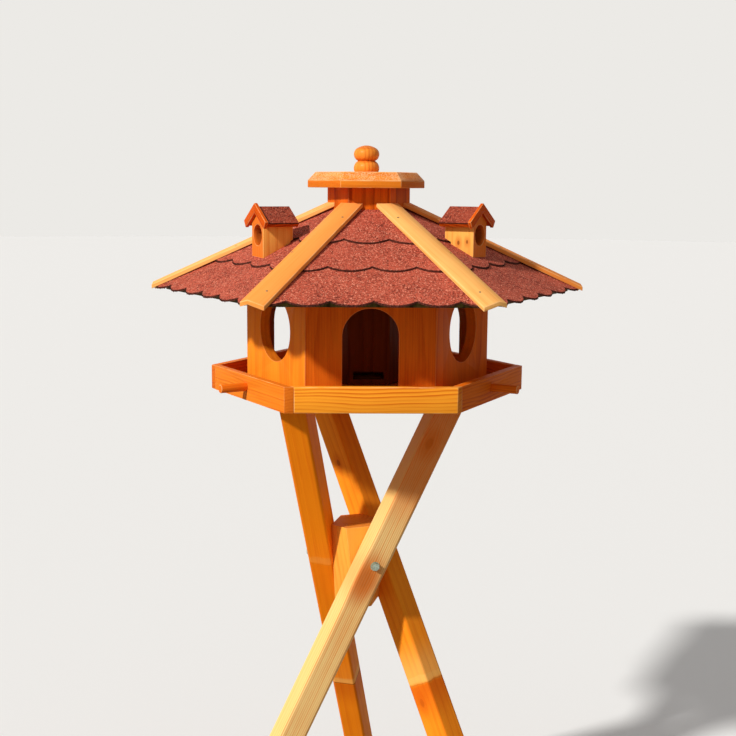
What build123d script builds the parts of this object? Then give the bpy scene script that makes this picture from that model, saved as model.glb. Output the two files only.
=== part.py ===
"""Hexagonal bird feeder: a roofed feeding house on a tray, carried by three crossing legs."""

import os
from math import cos, radians, sin, sqrt, tan

from build123d import *

# All lengths are millimetres, all angles degrees. The axis of the feeder is Z, the ground is z = 0,
# the hexagons have corners on +X and -X, and the front face looks towards -Y.

# Stand
tray_height = 1000.0
leg_width = 52.5
leg_thickness = 49.0
leg_tilt = 27.1
leg_outer_edge_radius = 8.0
leg_inner_edge_radius = 5.0
crossing_height = 662.5
hub_apothem = 42.0
hub_height = 158.0
hub_corner_radius_at_top = 50.0
hub_corner_radius_at_bottom = 34.0
stand_turn = 14.5
stand_offset = 16.0
stand_lean = 0.86
bolt_diameter = 8.0
bolt_head_across_flats = 13.0
bolt_head_height = 5.5
bolt_grip_in_hub = 28.0
bolt_rise = 18.0
washer_diameter = 17.0
washer_thickness = 1.6
bolt_hole_clearance = 0.5

# Tray
tray_apothem = 254.0
rim_height = 45.0
rim_thickness = 14.0
tray_floor_thickness = 18.0
perch_diameter = 15.0
perch_reach = 50.0
perch_height_in_rim = 24.0
perch_hole_clearance = 0.15

# House walls
wall_apothem = 196.0
wall_thickness = 20.0
wall_height = 237.5
arch_width = 98.0
arch_height = 154.0
window_diameter = 116.0
window_centre_height = 106.0

# Feed silo, which also forms the collar above the roof
silo_apothem = 66.0
silo_thickness = 12.0
collar_height = 42.3
slot_width = 56.0
slot_height = 14.0
slot_sill_height = 10.0

# Roof
roof_pitch = 28.0
deck_thickness = 8.0
deck_apothem = 325.0
shingle_thickness = 3.0
shingle_edge_apothem = 346.0
shingle_exposures = (92.5, 79.0)
shingle_lap = 25.0
scallop_pitches = (70.0, 74.0, 78.0)
scallop_offsets = (0.0, 0.0, 0.4)
scallop_depth = 12.0
cap_wing_width = 24.0
cap_thickness = 7.0
cap_overhang = 1.0
cap_skew = 1.4

# Dormers
dormer_front_apothems = (229.0, 224.5, 227.0)
dormer_turn = -3.6
dormer_depth = 57.0
dormer_width = 50.0
dormer_ridge_height = 89.0
dormer_roof_pitch = 33.5
dormer_roof_half_width = 42.0
dormer_roof_thickness = 6.0
dormer_felt_thickness = 2.5
dormer_back_overhang = 4.0
dormer_hole_diameter = 37.0
dormer_hole_depth = 34.0
dormer_hole_height = 39.0
dormer_seat_clearance = 0.3
bargeboard_thickness = 6.0
bargeboard_width = 14.5
bargeboard_overhang = 6.5
bargeboard_stand_up = 6.2

# Lid
lid_corner_radius = 108.5
lid_top_corner_radius = 94.0
lid_side_height = 13.0
lid_thickness = 28.5
lid_turn = 3.5
lid_shift = 4.5
knob_radius = 23.5
knob_foot_radius = 21.5
knob_neck_radius = 15.5
knob_lower_height = 20.5
knob_upper_height = 28.0
knob_dome_height = 4.0
locator_clearance = 10.0
locator_thickness = 15.0

# Derived levels and slopes
sides = 6
side_angle = 360.0 / sides
half_side_angle = side_angle / 2
legs = 3
front_face = 4
arch_faces = (front_face, 0, 2)
window_faces = (3, 5, 1)
face_names = ("back_right", "back", "back_left", "front_left", "front", "front_right")
front_direction = side_angle * front_face + half_side_angle
floor_top = tray_height + tray_floor_thickness
pitch_sin = sin(radians(roof_pitch))
pitch_cos = cos(radians(roof_pitch))
pitch_tan = tan(radians(roof_pitch))
wall_top_outer = floor_top + wall_height
deck_apex = wall_top_outer + wall_apothem * pitch_tan + deck_thickness / pitch_cos
silo_top = deck_apex - silo_apothem * pitch_tan + collar_height
above_all = 2 * deck_apex


def corner_radius(apothem):
    """Radius to a corner of the hexagon with this apothem."""
    return apothem / cos(radians(half_side_angle))


def face_angle(face):
    """Direction, in plan, in which a face of the hexagon looks."""
    return side_angle * face + half_side_angle


def meet(face_a, distance_a, face_b, distance_b):
    """Point in plan where two lines meet, each given by the face it is parallel to and its distance."""
    a, b = radians(face_angle(face_a)), radians(face_angle(face_b))
    span = sin(b - a)
    return (
        (distance_a * sin(b) - distance_b * sin(a)) / span,
        (distance_b * cos(a) - distance_a * cos(b)) / span,
    )


def prism(points, bottom, top):
    """Upright solid over a polygon in plan."""
    face = Face(Wire.make_polygon([Vector(x, y, bottom) for x, y in points]))
    return extrude(face, top - bottom, dir=(0, 0, 1))


def hexagon_prism(apothem, bottom, top):
    """Upright hexagonal solid centred on the axis."""
    return prism([meet(k, apothem, k + 1, apothem) for k in range(sides)], bottom, top)


def rod(radius, length):
    """Round rod that starts at the origin and runs along +X."""
    return Pos(length / 2, 0, 0) * Rot(0, 90, 0) * Cylinder(radius, length)


def at_face(shape, face):
    """Turns a shape that was made facing +X so that it faces the given side."""
    return Rot(0, 0, face_angle(face)) * shape


def sector(reach, bottom, top):
    """Upright wedge between the two corners beside the +X face."""
    half = reach * tan(radians(half_side_angle))
    return prism([(0, 0), (reach, -half), (reach, half)], bottom, top)


def ring_board(apothem, thickness, bottom, top):
    """Board of a hexagonal tube, mitred at both ends, made facing +X."""
    inner = apothem - thickness
    slope = tan(radians(half_side_angle))
    outer_half, inner_half = apothem * slope, inner * slope
    points = [(apothem, -outer_half), (apothem, outer_half), (inner, inner_half), (inner, -inner_half)]
    return prism(points, bottom, top)


def slope_point(apothem, lift):
    """Point of the section through a roof face, lifted square to the deck's top."""
    return (apothem + lift * pitch_sin, deck_apex - apothem * pitch_tan + lift * pitch_cos)


def section_solid(points, half_length):
    """Solid with a section drawn in the XZ plane, running along Y to both sides."""
    face = Face(Wire.make_polygon([Vector(x, 0, z) for x, z in points]))
    return extrude(face, half_length, dir=(0, 1, 0), both=True)


def cross_section_solid(points, back, length):
    """Solid with a section drawn in the YZ plane, running along +X from the given distance."""
    face = Face(Wire.make_polygon([Vector(back, y, z) for y, z in points]))
    return extrude(face, length, dir=(1, 0, 0))


# Stand


def stand_frame():
    """Location of the middle of the hub: a little off the feeder's axis and leaning a little."""
    return Pos(-stand_offset, 0, crossing_height) * Rot(0, -stand_lean, 0)


def seat_angle(index):
    """Direction in which the hub's seat for a leg looks."""
    return front_direction + stand_turn + 360.0 / legs * index


def leg_frame(index):
    """Location of a leg where it crosses the hub: X runs outwards, Z up along the leg."""
    return stand_frame() * Rot(0, 0, seat_angle(index)) * Pos(hub_apothem, 0, 0) * Rot(-leg_tilt, 0, 0)


def bolt_hole(index, depth, height):
    """Bore round a leg's bolt, from a depth inside the hub to a height outside it."""
    bore = rod(bolt_diameter / 2 + bolt_hole_clearance, depth + height)
    return leg_frame(index) * Pos(-depth, 0, bolt_rise) * bore


def leg(index):
    """Leg from the ground to the underside of the tray, with its outer edges well rounded."""
    reach = 2 * tray_height
    blank = Pos(leg_thickness / 2, 0, 0) * Box(leg_thickness, leg_width, 2 * reach)
    sides_by_x = blank.edges().filter_by(Axis.Z).sort_by(Axis.X)
    blank = fillet(sides_by_x[2:], leg_outer_edge_radius)
    corners = [e for e in blank.edges().filter_by(Axis.Z) if abs(e.center().X) < leg_inner_edge_radius / 10]
    blank = fillet(corners, leg_inner_edge_radius)
    placed = leg_frame(index) * blank & Pos(0, 0, tray_height / 2) * Box(reach, reach, tray_height)
    return placed - bolt_hole(index, leg_thickness, 2 * leg_thickness)


def hub_outline(corner):
    """Triangle with cut corners: three faces that seat the legs, three that stand between."""
    points = []
    half = (corner - hub_apothem * cos(radians(side_angle))) / sin(radians(side_angle))
    for index in range(legs):
        seat = radians(seat_angle(index))
        for side in (-half, half):
            points.append((
                hub_apothem * cos(seat) - side * sin(seat),
                hub_apothem * sin(seat) + side * cos(seat),
            ))
    return points


def hub_face(corner, height):
    """Outline of the hub block at one level."""
    return Face(Wire.make_polygon([Vector(x, y, height) for x, y in hub_outline(corner)]))


def hub_block():
    """Block between the legs, its free faces leaning in towards the bottom, with a hole behind each bolt."""
    block = stand_frame() * loft([
        hub_face(hub_corner_radius_at_bottom, -hub_height / 2),
        hub_face(hub_corner_radius_at_top, hub_height / 2),
    ], ruled=True)
    for index in range(legs):
        block -= bolt_hole(index, bolt_grip_in_hub + bolt_hole_clearance, leg_thickness)
    return block


def leg_bolt(index):
    """Hexagon bolt with its washer, through a leg into the hub."""
    under_head = leg_thickness + washer_thickness
    shank = Pos(-bolt_grip_in_hub, 0, 0) * rod(bolt_diameter / 2, bolt_grip_in_hub + under_head)
    washer = Pos(leg_thickness, 0, 0) * rod(washer_diameter / 2, washer_thickness)
    hexagon = RegularPolygon(bolt_head_across_flats / 2, sides, major_radius=False)
    head = extrude(Plane.YZ.offset(under_head) * hexagon, bolt_head_height)
    return leg_frame(index) * Pos(0, 0, bolt_rise) * (shank + washer + head)


# Tray


def tray_floor():
    """Floor board inside the rim."""
    return hexagon_prism(tray_apothem - rim_thickness, tray_height, floor_top)


def perch_place(distance):
    """Start of a perch or its hole at a distance from the axis, made facing +X."""
    return Pos(distance, 0, tray_height + perch_height_in_rim)


def rim_board(face):
    """Rim board that butts on the board before it and covers the end of the next."""
    inner = tray_apothem - rim_thickness
    points = [
        meet(face, tray_apothem, face - 1, inner),
        meet(face, tray_apothem, face + 1, tray_apothem),
        meet(face, inner, face + 1, tray_apothem),
        meet(face, inner, face - 1, inner),
    ]
    board = prism(points, tray_height, tray_height + rim_height)
    if face in window_faces:
        bore = rod(perch_diameter / 2 + perch_hole_clearance, 3 * rim_thickness)
        board -= at_face(perch_place(inner - rim_thickness) * bore, face)
    return board


def perch(face):
    """Round perch rod, held in the rim."""
    length = rim_thickness + perch_reach
    return at_face(perch_place(tray_apothem - rim_thickness) * rod(perch_diameter / 2, length), face)


# House


def under_deck(reach):
    """Everything below the underside of the roof deck, made facing +X."""
    under = -deck_thickness
    ridge = (0, deck_apex - deck_thickness / pitch_cos)
    return section_solid([(0, 0), (reach, 0), slope_point(reach, under), ridge], reach)


def wall(face):
    """Wall board with an arch or a round window, cut to the roof's slope on top."""
    board = ring_board(wall_apothem, wall_thickness, floor_top, deck_apex) & under_deck(2 * wall_apothem)
    through = 4 * wall_thickness
    start = wall_apothem - through / 2
    if face in arch_faces:
        radius = arch_width / 2
        spring = arch_height - radius
        opening = Pos(wall_apothem, 0, floor_top + spring / 2) * Box(through, arch_width, spring)
        opening += Pos(start, 0, floor_top + spring) * rod(radius, through)
    else:
        opening = Pos(start, 0, floor_top + window_centre_height) * rod(window_diameter / 2, through)
    return at_face(board - opening, face)


def silo_board(face):
    """Board of the silo, with a feed slot behind each arch."""
    board = ring_board(silo_apothem, silo_thickness, floor_top, silo_top)
    if face in arch_faces:
        centre = floor_top + slot_sill_height + slot_height / 2
        board -= Pos(silo_apothem, 0, centre) * Box(4 * silo_thickness, slot_width, slot_height)
    return at_face(board, face)


# Roof


def outside_silo(shape):
    """What is left of a roof piece when the silo's place is cut out of it."""
    return shape - hexagon_prism(silo_apothem, 0, above_all)


def roof_panel(face):
    """Sloping board from the silo to the eave, mitred along both hips."""
    reach = 2 * deck_apothem
    corners = ((0, 0), (reach, 0), (reach, -deck_thickness), (0, -deck_thickness))
    panel = section_solid([slope_point(a, lift) for a, lift in corners], deck_apothem)
    return outside_silo(at_face(panel & sector(deck_apothem, 0, above_all), face))


def course_levels():
    """Lean of the shingles on the deck, and each course's edge apothem and underside height there."""
    mean_exposure = sum(shingle_exposures) / len(shingle_exposures) / pitch_cos
    lean = shingle_thickness / mean_exposure
    edge = shingle_edge_apothem
    under = lean * (shingle_exposures[0] / pitch_cos + shingle_lap)
    levels = []
    for exposure in (*shingle_exposures, 0.0):
        levels.append((edge, under))
        edge -= exposure
        under += shingle_thickness - lean * exposure / pitch_cos
    return lean, levels


def scallop_cutter(edge, pitch, offset):
    """Solid that keeps only what lies above a scalloped line, made facing +X."""
    radius = (pitch ** 2 / 4 + scallop_depth ** 2) / (2 * scallop_depth)
    count = int(2 * edge / pitch) + 2
    root = edge - scallop_depth
    keep = Pos(root / 2, 0, deck_apex) * Box(root, 4 * edge, 2 * above_all)
    strip = Pos(edge, 0, 0) * Box(edge, pitch, 2 * above_all)
    lobe = Pos(edge - radius, 0, 0) * Cylinder(radius, 2 * above_all) & strip
    for step in range(-count // 2, count // 2 + 1):
        keep += Pos(0, (step + 0.5 + offset) * pitch, 0) * lobe
    return keep


def shingle_course(face, row):
    """One course of shingles on one face: a thin sheet with a scalloped edge, lapping the one below."""
    lean, levels = course_levels()
    edge, under = levels[row]
    head = edge - under / lean * pitch_cos
    sheet = [
        slope_point(edge, under),
        slope_point(edge, under + shingle_thickness),
        slope_point(head, shingle_thickness),
        slope_point(head, 0),
    ]
    if row == 0:
        eave = [slope_point(deck_apothem, 0), slope_point(deck_apothem, under)]
        sheet = eave + sheet
    course = section_solid(sheet, edge) & sector(2 * edge, 0, above_all)
    course &= scallop_cutter(edge, scallop_pitches[row], scallop_offsets[row])
    return outside_silo(at_face(course, face))


def shingle_top():
    """Greatest height of the shingles above the deck."""
    return max(under for _, under in course_levels()[1]) + shingle_thickness


def hip_cap(corner):
    """Angled strip over a hip: two wings that follow the roof faces and run a little askew."""
    rise = shingle_top()
    end = corner_radius(shingle_edge_apothem) + cap_overhang
    reach = cap_wing_width / sqrt(1 + (pitch_tan * sin(radians(half_side_angle))) ** 2)
    towards_arch = 1 if corner % 2 == 0 else -1
    swing = towards_arch * tan(radians(cap_skew))
    start_shift = -corner_radius(silo_apothem) * swing
    end_shift = start_shift + end * swing
    corners = ((0, rise), (2 * end, rise), (2 * end, rise + cap_thickness), (0, rise + cap_thickness))
    section = [slope_point(a, lift) for a, lift in corners]
    wings = []
    for side in (-1, 1):
        slab = Rot(0, 0, side * half_side_angle) * section_solid(section, 2 * end)
        outline = [(0, 0), (end, 0), (end, side * reach + end_shift), (0, side * reach + start_shift)]
        wings.append(slab & prism(outline, 0, above_all))
    return outside_silo(Rot(0, 0, side_angle * corner) * (wings[0] + wings[1]))


# Dormers, made facing +X


def course_top(row):
    """Line of a course's top, as its lower and upper points in the roof's section."""
    lean, levels = course_levels()
    edge, under = levels[row]
    head = edge - under / lean * pitch_cos
    return slope_point(edge, under + shingle_thickness), slope_point(head, shingle_thickness)


def height_on(line, apothem):
    """Height of a line of the roof's section at a distance from the axis."""
    (x0, z0), (x1, z1) = line
    return z0 + (apothem - x0) * (z1 - z0) / (x1 - x0)


def seat_height(apothem):
    """Height of the dormer's seat on the middle course."""
    return height_on(course_top(1), apothem)


def dormer_ridge(front):
    """Height of the top of a dormer's felt at the ridge, for a dormer that stands at this distance."""
    return seat_height(front) + dormer_ridge_height


def dormer_turned(shape, front):
    """Turns a piece of a dormer a little about the middle of its front."""
    return Pos(front, 0, 0) * Rot(0, 0, dormer_turn) * Pos(-front, 0, 0) * shape


def gable(half_width, top, thickness, back, length):
    """Bent sheet over a ridge that runs along X, with edges cut square to its slopes."""
    slope = radians(dormer_roof_pitch)
    foot = (half_width, top - half_width * tan(slope))
    under = (half_width - thickness * sin(slope), foot[1] - thickness * cos(slope))
    inside = (0, top - thickness / cos(slope))
    points = [(0, top), foot, under, inside, (-under[0], under[1]), (-foot[0], foot[1])]
    return cross_section_solid(points, back, length)


def dormer_room(half_length):
    """Everything above the shingles that a dormer sits on, with a step over the upper course."""
    seat, upper = course_top(1), course_top(2)
    step = upper[0][0] + dormer_seat_clearance
    over_upper = height_on(upper, step) + dormer_seat_clearance
    outline = [
        seat[0],
        (step, height_on(seat, step)),
        (step, over_upper),
        (upper[1][0], over_upper + (step - upper[1][0]) * pitch_tan),
        (upper[1][0], above_all),
        (seat[0][0], above_all),
    ]
    return section_solid(outline, half_length)


def dormer_body(face, front):
    """Little house with a pointed gable and a round hole, seated on the shingles."""
    cover = (dormer_roof_thickness + dormer_felt_thickness) / cos(radians(dormer_roof_pitch))
    peak = dormer_ridge(front) - cover
    half = dormer_width / 2
    shoulder = peak - half * tan(radians(dormer_roof_pitch))
    base = seat_height(front) - dormer_depth
    outline = [(-half, base), (half, base), (half, shoulder), (0, peak), (-half, shoulder)]
    body = cross_section_solid(outline, front - dormer_depth, dormer_depth)
    hole = rod(dormer_hole_diameter / 2, 2 * dormer_hole_depth)
    body -= Pos(front - dormer_hole_depth, 0, seat_height(front) + dormer_hole_height) * hole
    return at_face(dormer_turned(body, front) & dormer_room(dormer_width), face)


def dormer_cover(half_width, top, thickness, face, front):
    """Sheet of the dormer's roof, from its front to a little behind its back."""
    length = dormer_depth + dormer_back_overhang
    cover = gable(half_width, top, thickness, front - length, length)
    return at_face(dormer_turned(cover, front), face)


def dormer_roof(face, front):
    """Two thin boards that meet at the dormer's ridge."""
    half_width = dormer_roof_half_width - dormer_felt_thickness * sin(radians(dormer_roof_pitch))
    top = dormer_ridge(front) - dormer_felt_thickness / cos(radians(dormer_roof_pitch))
    return dormer_cover(half_width, top, dormer_roof_thickness, face, front)


def dormer_felt(face, front):
    """Roofing felt over the dormer's boards."""
    return dormer_cover(dormer_roof_half_width, dormer_ridge(front), dormer_felt_thickness, face, front)


def bargeboards(face, front):
    """Pair of boards that cover the front ends of the dormer's roof."""
    half_width = dormer_roof_half_width + bargeboard_overhang
    top = dormer_ridge(front) + bargeboard_stand_up
    boards = gable(half_width, top, bargeboard_width, front, bargeboard_thickness)
    return at_face(dormer_turned(boards, front), face)


# Lid


def lid_hexagon(corner, height):
    """Horizontal hexagon of the lid with the given corner radius."""
    return (Pos(-lid_shift, 0, height) * Rot(0, 0, lid_turn) * RegularPolygon(corner, sides)).face()


def lid_board():
    """Hexagonal board with a bevelled upper edge."""
    side_top = silo_top + lid_side_height
    board = extrude(lid_hexagon(lid_corner_radius, silo_top), lid_side_height)
    lower = lid_hexagon(lid_corner_radius, side_top)
    upper = lid_hexagon(lid_top_corner_radius, silo_top + lid_thickness)
    return board + loft([lower, upper], ruled=True)


def lid_knob():
    """Turned knob: a low bead with a domed head above it."""
    base = silo_top + lid_thickness
    neck = base + knob_lower_height
    shoulder = neck + knob_upper_height - knob_dome_height
    top = neck + knob_upper_height
    dome_radius = (knob_neck_radius ** 2 + knob_dome_height ** 2) / (2 * knob_dome_height)
    half = knob_neck_radius / 2
    dome_middle = top - dome_radius + sqrt(dome_radius ** 2 - half ** 2)
    outline = Polyline((0, top), (0, base), (knob_foot_radius, base))
    outline += ThreePointArc(
        (knob_foot_radius, base),
        (knob_radius, base + knob_lower_height / 3),
        (knob_neck_radius, neck),
    )
    outline += ThreePointArc(
        (knob_neck_radius, neck),
        (knob_radius, (neck + shoulder) / 2),
        (knob_neck_radius, shoulder),
    )
    outline += ThreePointArc((knob_neck_radius, shoulder), (half, dome_middle), (0, top))
    return Pos(-lid_shift, 0, 0) * revolve(Plane.XZ * make_face(outline), Axis.Z)


def lid_locator():
    """Hexagonal block under the lid that keeps it centred in the silo."""
    apothem = silo_apothem - silo_thickness - locator_clearance
    return extrude(lid_hexagon(corner_radius(apothem), silo_top - locator_thickness), locator_thickness)


def write(name, shape):
    """Writes one node."""
    export_step(shape, f"parts/{name}.step")


def write_together(name, shapes):
    """Writes one node that holds several solids."""
    write(name, Compound(children=[s for shape in shapes for s in shape.solids()]))


def main():
    """Builds and writes every node."""
    os.makedirs("parts", exist_ok=True)
    for index, name in enumerate(("leg_front", "leg_right", "leg_left")):
        write(name, leg(index))
    write("hub_block", hub_block())
    write_together("leg_bolts", [leg_bolt(index) for index in range(legs)])
    write("tray_floor", tray_floor())
    for face, name in enumerate(face_names):
        write(f"rim_{name}", rim_board(face))
        write(f"wall_{name}", wall(face))
        write(f"roof_panel_{name}", roof_panel(face))
    write_together("perches", [perch(face) for face in window_faces])
    write_together("silo_slotted_boards", [silo_board(face) for face in arch_faces])
    write_together("silo_plain_boards", [silo_board(face) for face in window_faces])
    for row, name in enumerate(("lower", "middle", "upper")):
        write_together(f"shingles_{name}", [shingle_course(face, row) for face in range(sides)])
    write_together("hip_caps", [hip_cap(corner) for corner in range(sides)])
    dormers = list(zip(window_faces, dormer_front_apothems))
    for (face, front), name in zip(dormers, ("left", "right", "back")):
        write(f"dormer_{name}", dormer_body(face, front))
        write(f"dormer_roof_{name}", dormer_roof(face, front))
    write_together("dormer_felts", [dormer_felt(face, front) for face, front in dormers])
    write_together("bargeboards", [bargeboards(face, front) for face, front in dormers])
    write("lid_board", lid_board())
    write("lid_knob", lid_knob())
    write("lid_locator", lid_locator())


main()
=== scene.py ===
"""Bird feeder on a three-legged stand: finishes, fine detail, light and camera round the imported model."""

import logging
import math
from dataclasses import dataclass, field
from enum import Enum
from typing import Any, Union

import bmesh
import bpy
from mathutils import Matrix, Vector


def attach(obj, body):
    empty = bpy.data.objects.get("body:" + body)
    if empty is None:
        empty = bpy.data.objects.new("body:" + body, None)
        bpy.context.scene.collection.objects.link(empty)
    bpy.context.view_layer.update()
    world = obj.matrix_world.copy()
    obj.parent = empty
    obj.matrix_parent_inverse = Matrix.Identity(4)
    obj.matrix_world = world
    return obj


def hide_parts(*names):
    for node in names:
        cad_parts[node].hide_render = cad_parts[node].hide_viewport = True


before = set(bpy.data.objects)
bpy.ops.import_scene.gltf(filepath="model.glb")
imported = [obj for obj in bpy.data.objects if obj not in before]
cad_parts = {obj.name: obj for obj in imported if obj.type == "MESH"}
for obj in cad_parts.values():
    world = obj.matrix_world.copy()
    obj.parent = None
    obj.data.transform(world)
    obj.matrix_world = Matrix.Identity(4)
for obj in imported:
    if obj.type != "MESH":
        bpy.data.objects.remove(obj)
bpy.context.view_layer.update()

LOG = logging.getLogger("feeder")
FEEDER = "feeder"
LID = "lid"
FACE_NAMES = ("back_right", "back", "back_left", "front_left", "front", "front_right")
HALF_SECTOR = math.radians(30.0)
SECTOR = 2 * HALF_SECTOR
ROOF_PITCH = math.radians(28.0)
HIP_PITCH = math.atan(math.tan(ROOF_PITCH) * math.cos(HALF_SECTOR))
SHARP = math.radians(28.0)
FLAT = math.radians(0.6)
WELD = 2e-5

Colour = tuple[float, float, float]
Socket = bpy.types.NodeSocket
Finish = bpy.types.Material
Tree = bpy.types.NodeTree
Piece = bpy.types.Object
Feed = Union[Socket, float, tuple]
Parts = dict[str, Feed]


def paint(red: int, green: int, blue: int) -> Colour:
    """Turns a colour written as on a screen, 0 to 255, into the linear values of a shader.

    Args:
        red: Its red part.
        green: Its green part.
        blue: Its blue part.

    Returns:
        The linear colour.
    """
    linear = []
    for part in (red, green, blue):
        value = part / 255.0
        linear.append(value / 12.92 if value <= 0.04045 else ((value + 0.055) / 1.055) ** 2.4)
    return linear[0], linear[1], linear[2]


class Graph:
    """Adds linked nodes to one node tree."""

    def __init__(self, tree: Tree) -> None:
        """Keeps the tree that the nodes go into."""
        self.tree = tree

    def feed(self, socket: Socket, value: Feed) -> None:
        """Links a socket to another, or sets its own value.

        Args:
            socket: The input socket.
            value: An output socket, or the value itself; a colour may have three parts.
        """
        if isinstance(value, Socket):
            self.tree.links.new(value, socket)
        elif socket.type == "RGBA" and len(value) == 3:
            socket.default_value = (*value, 1.0)
        else:
            socket.default_value = value

    def node(self, kind: str, inputs: dict | None = None, **settings: Any) -> bpy.types.Node:
        """Adds one node.

        Args:
            kind: The node's type.
            inputs: What its input sockets get, by name or number.
            **settings: The node's own properties.

        Returns:
            The new node.
        """
        made = self.tree.nodes.new(kind)
        for name, value in settings.items():
            setattr(made, name, value)
        for name, value in (inputs or {}).items():
            self.feed(made.inputs[name], value)
        return made

    def place(self, group: Tree, inputs: Parts) -> Parts:
        """Places a shader node group with its own values and returns its outputs by name.

        Args:
            group: The group's tree.
            inputs: What its inputs get, by name.

        Returns:
            Its outputs by name.
        """
        made = self.node("ShaderNodeGroup", node_tree=group)
        for name, value in inputs.items():
            self.feed(made.inputs[name], value)
        return {socket.name: socket for socket in made.outputs}

    def math(self, operation: str, *values: Feed) -> Socket:
        """Adds a Math node and returns its output."""
        return self.node("ShaderNodeMath", dict(enumerate(values)), operation=operation).outputs[0]

    def plus(self, first: Feed, second: Feed) -> Socket:
        """Adds two values."""
        return self.math("ADD", first, second)

    def minus(self, first: Feed, second: Feed) -> Socket:
        """Takes the second value from the first."""
        return self.math("SUBTRACT", first, second)

    def times(self, first: Feed, second: Feed) -> Socket:
        """Multiplies two values."""
        return self.math("MULTIPLY", first, second)

    def over(self, first: Feed, second: Feed) -> Socket:
        """Divides the first value by the second."""
        return self.math("DIVIDE", first, second)

    def squared(self, value: Feed) -> Socket:
        """Multiplies a value by itself."""
        return self.math("POWER", value, 2.0)

    def scaled(self, value: Feed, factor: Feed, rest: Feed) -> Socket:
        """Multiplies a value by a factor and adds the rest."""
        return self.math("MULTIPLY_ADD", value, factor, rest)

    def sway(self, part: Feed, width: Feed, middle: Feed) -> Socket:
        """Moves a middle value to either side, by a part from 0 to 1 of the whole width."""
        return self.scaled(self.minus(part, 0.5), width, middle)

    def split(self, vector: Feed) -> tuple[Socket, ...]:
        """Splits a vector into its three parts."""
        return tuple(self.node("ShaderNodeSeparateXYZ", {0: vector}).outputs)

    def join(self, x: Feed, y: Feed, z: Feed) -> Socket:
        """Makes a vector of three parts."""
        return self.node("ShaderNodeCombineXYZ", {0: x, 1: y, 2: z}).outputs[0]

    def stretched(self, vector: Feed, factors: tuple[float, float, float]) -> Socket:
        """Multiplies the three parts of a vector, each by its own factor."""
        return self.join(*(self.times(part, factor) for part, factor in zip(self.split(vector), factors)))

    def resized(self, vector: Feed, factor: Feed) -> Socket:
        """Multiplies a vector by one factor."""
        return self.node("ShaderNodeVectorMath", {0: vector, "Scale": factor}, operation="SCALE").outputs[0]

    def span(self, value: Feed, low: Feed, high: Feed, start: Feed = 0.0, end: Feed = 1.0) -> Socket:
        """Maps a value between two limits smoothly to another range, held at its ends.

        Args:
            value: The value.
            low: Its lower limit.
            high: Its upper limit.
            start: The result at the lower limit.
            end: The result at the upper limit.

        Returns:
            The result.
        """
        made = self.node("ShaderNodeMapRange", interpolation_type="SMOOTHSTEP")
        for socket, given in zip(made.inputs, (value, low, high, start, end)):
            self.feed(socket, given)
        return made.outputs[0]

    def mix(self, factor: Feed, first: Feed, second: Feed) -> Socket:
        """Mixes two colours."""
        return self.node("ShaderNodeMix", {0: factor, 6: first, 7: second}, data_type="RGBA").outputs[2]

    def tint(self, base: Feed, colour: Feed, mask: Feed, amount: Feed) -> Socket:
        """Lays a colour over a base where a mask shows it, no stronger than the amount."""
        return self.mix(self.times(mask, amount), base, colour)

    def here(self) -> Socket:
        """Gives the place on the object."""
        return self.node("ShaderNodeTexCoord").outputs["Object"]

    def upward(self) -> Socket:
        """Gives how squarely a flat face looks up, from -1 to 1."""
        return self.split(self.node("ShaderNodeNewGeometry").outputs["True Normal"])[2]

    def facing(self, direction: Vector) -> Socket:
        """Gives how squarely the surface faces a direction, from -1 to 1.

        Args:
            direction: The direction.

        Returns:
            The cosine of the angle between the two.
        """
        normal = self.node("ShaderNodeNewGeometry").outputs["Normal"]
        inputs = {0: normal, 1: tuple(direction.normalized())}
        return self.node("ShaderNodeVectorMath", inputs, operation="DOT_PRODUCT").outputs["Value"]

    def noise(self, vector: Feed, scale: float, detail: float = 2.0, output: int = 0) -> Socket:
        """Adds a noise texture and returns its value, or its colour with output 1."""
        inputs = {"Vector": vector, "Scale": scale, "Detail": detail}
        return self.node("ShaderNodeTexNoise", inputs).outputs[output]

    def chance(self, value: Feed) -> tuple[Socket, ...]:
        """Gives three random parts, from 0 to 1, that belong to a whole number."""
        made = self.node("ShaderNodeTexWhiteNoise", {"W": value}, noise_dimensions="1D")
        return self.split(made.outputs[1])


def add_sockets(tree: Tree, takes: dict[str, Any], gives: tuple[str, ...]) -> None:
    """Adds the input and output sockets of a node group.

    Args:
        tree: The group's tree.
        takes: Starting values by name: a number, a colour's three parts, or None where the name is the kind.
        gives: Names of the outputs, which are numbers unless the name is a kind.
    """
    for name, value in takes.items():
        kind = {float: "Float", int: "Int", tuple: "Color"}.get(type(value), name)
        made = tree.interface.new_socket(name, in_out="INPUT", socket_type=f"NodeSocket{kind}")
        if kind == "Color":
            made.default_value = (*value, 1.0)
        elif value is not None:
            made.default_value = value
    for name in gives:
        kind = name if name in ("Color", "Vector", "Geometry") else "Float"
        tree.interface.new_socket(name, in_out="OUTPUT", socket_type=f"NodeSocket{kind}")


class Group(Graph):
    """A node group that is being built: its inputs by name, and its output node."""

    def __init__(self, name: str, takes: dict[str, Any], gives: tuple[str, ...],
                 family: str = "Shader") -> None:
        """Starts the group.

        Args:
            name: The group's name.
            takes: Its inputs, as in add_sockets.
            gives: Its outputs, as in add_sockets.
            family: Shader or Geometry.
        """
        super().__init__(bpy.data.node_groups.new(name, f"{family}NodeTree"))
        add_sockets(self.tree, takes, gives)
        start = self.tree.nodes.new("NodeGroupInput")
        self.given = {socket.name: socket for socket in start.outputs if socket.name}
        self.out = self.tree.nodes.new("NodeGroupOutput")

    def end(self, **results: Socket) -> Tree:
        """Feeds the group's outputs and returns its tree.

        Args:
            **results: What each output gets.

        Returns:
            The group's tree.
        """
        for name, value in results.items():
            self.feed(self.out.inputs[name], value)
        return self.tree


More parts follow.
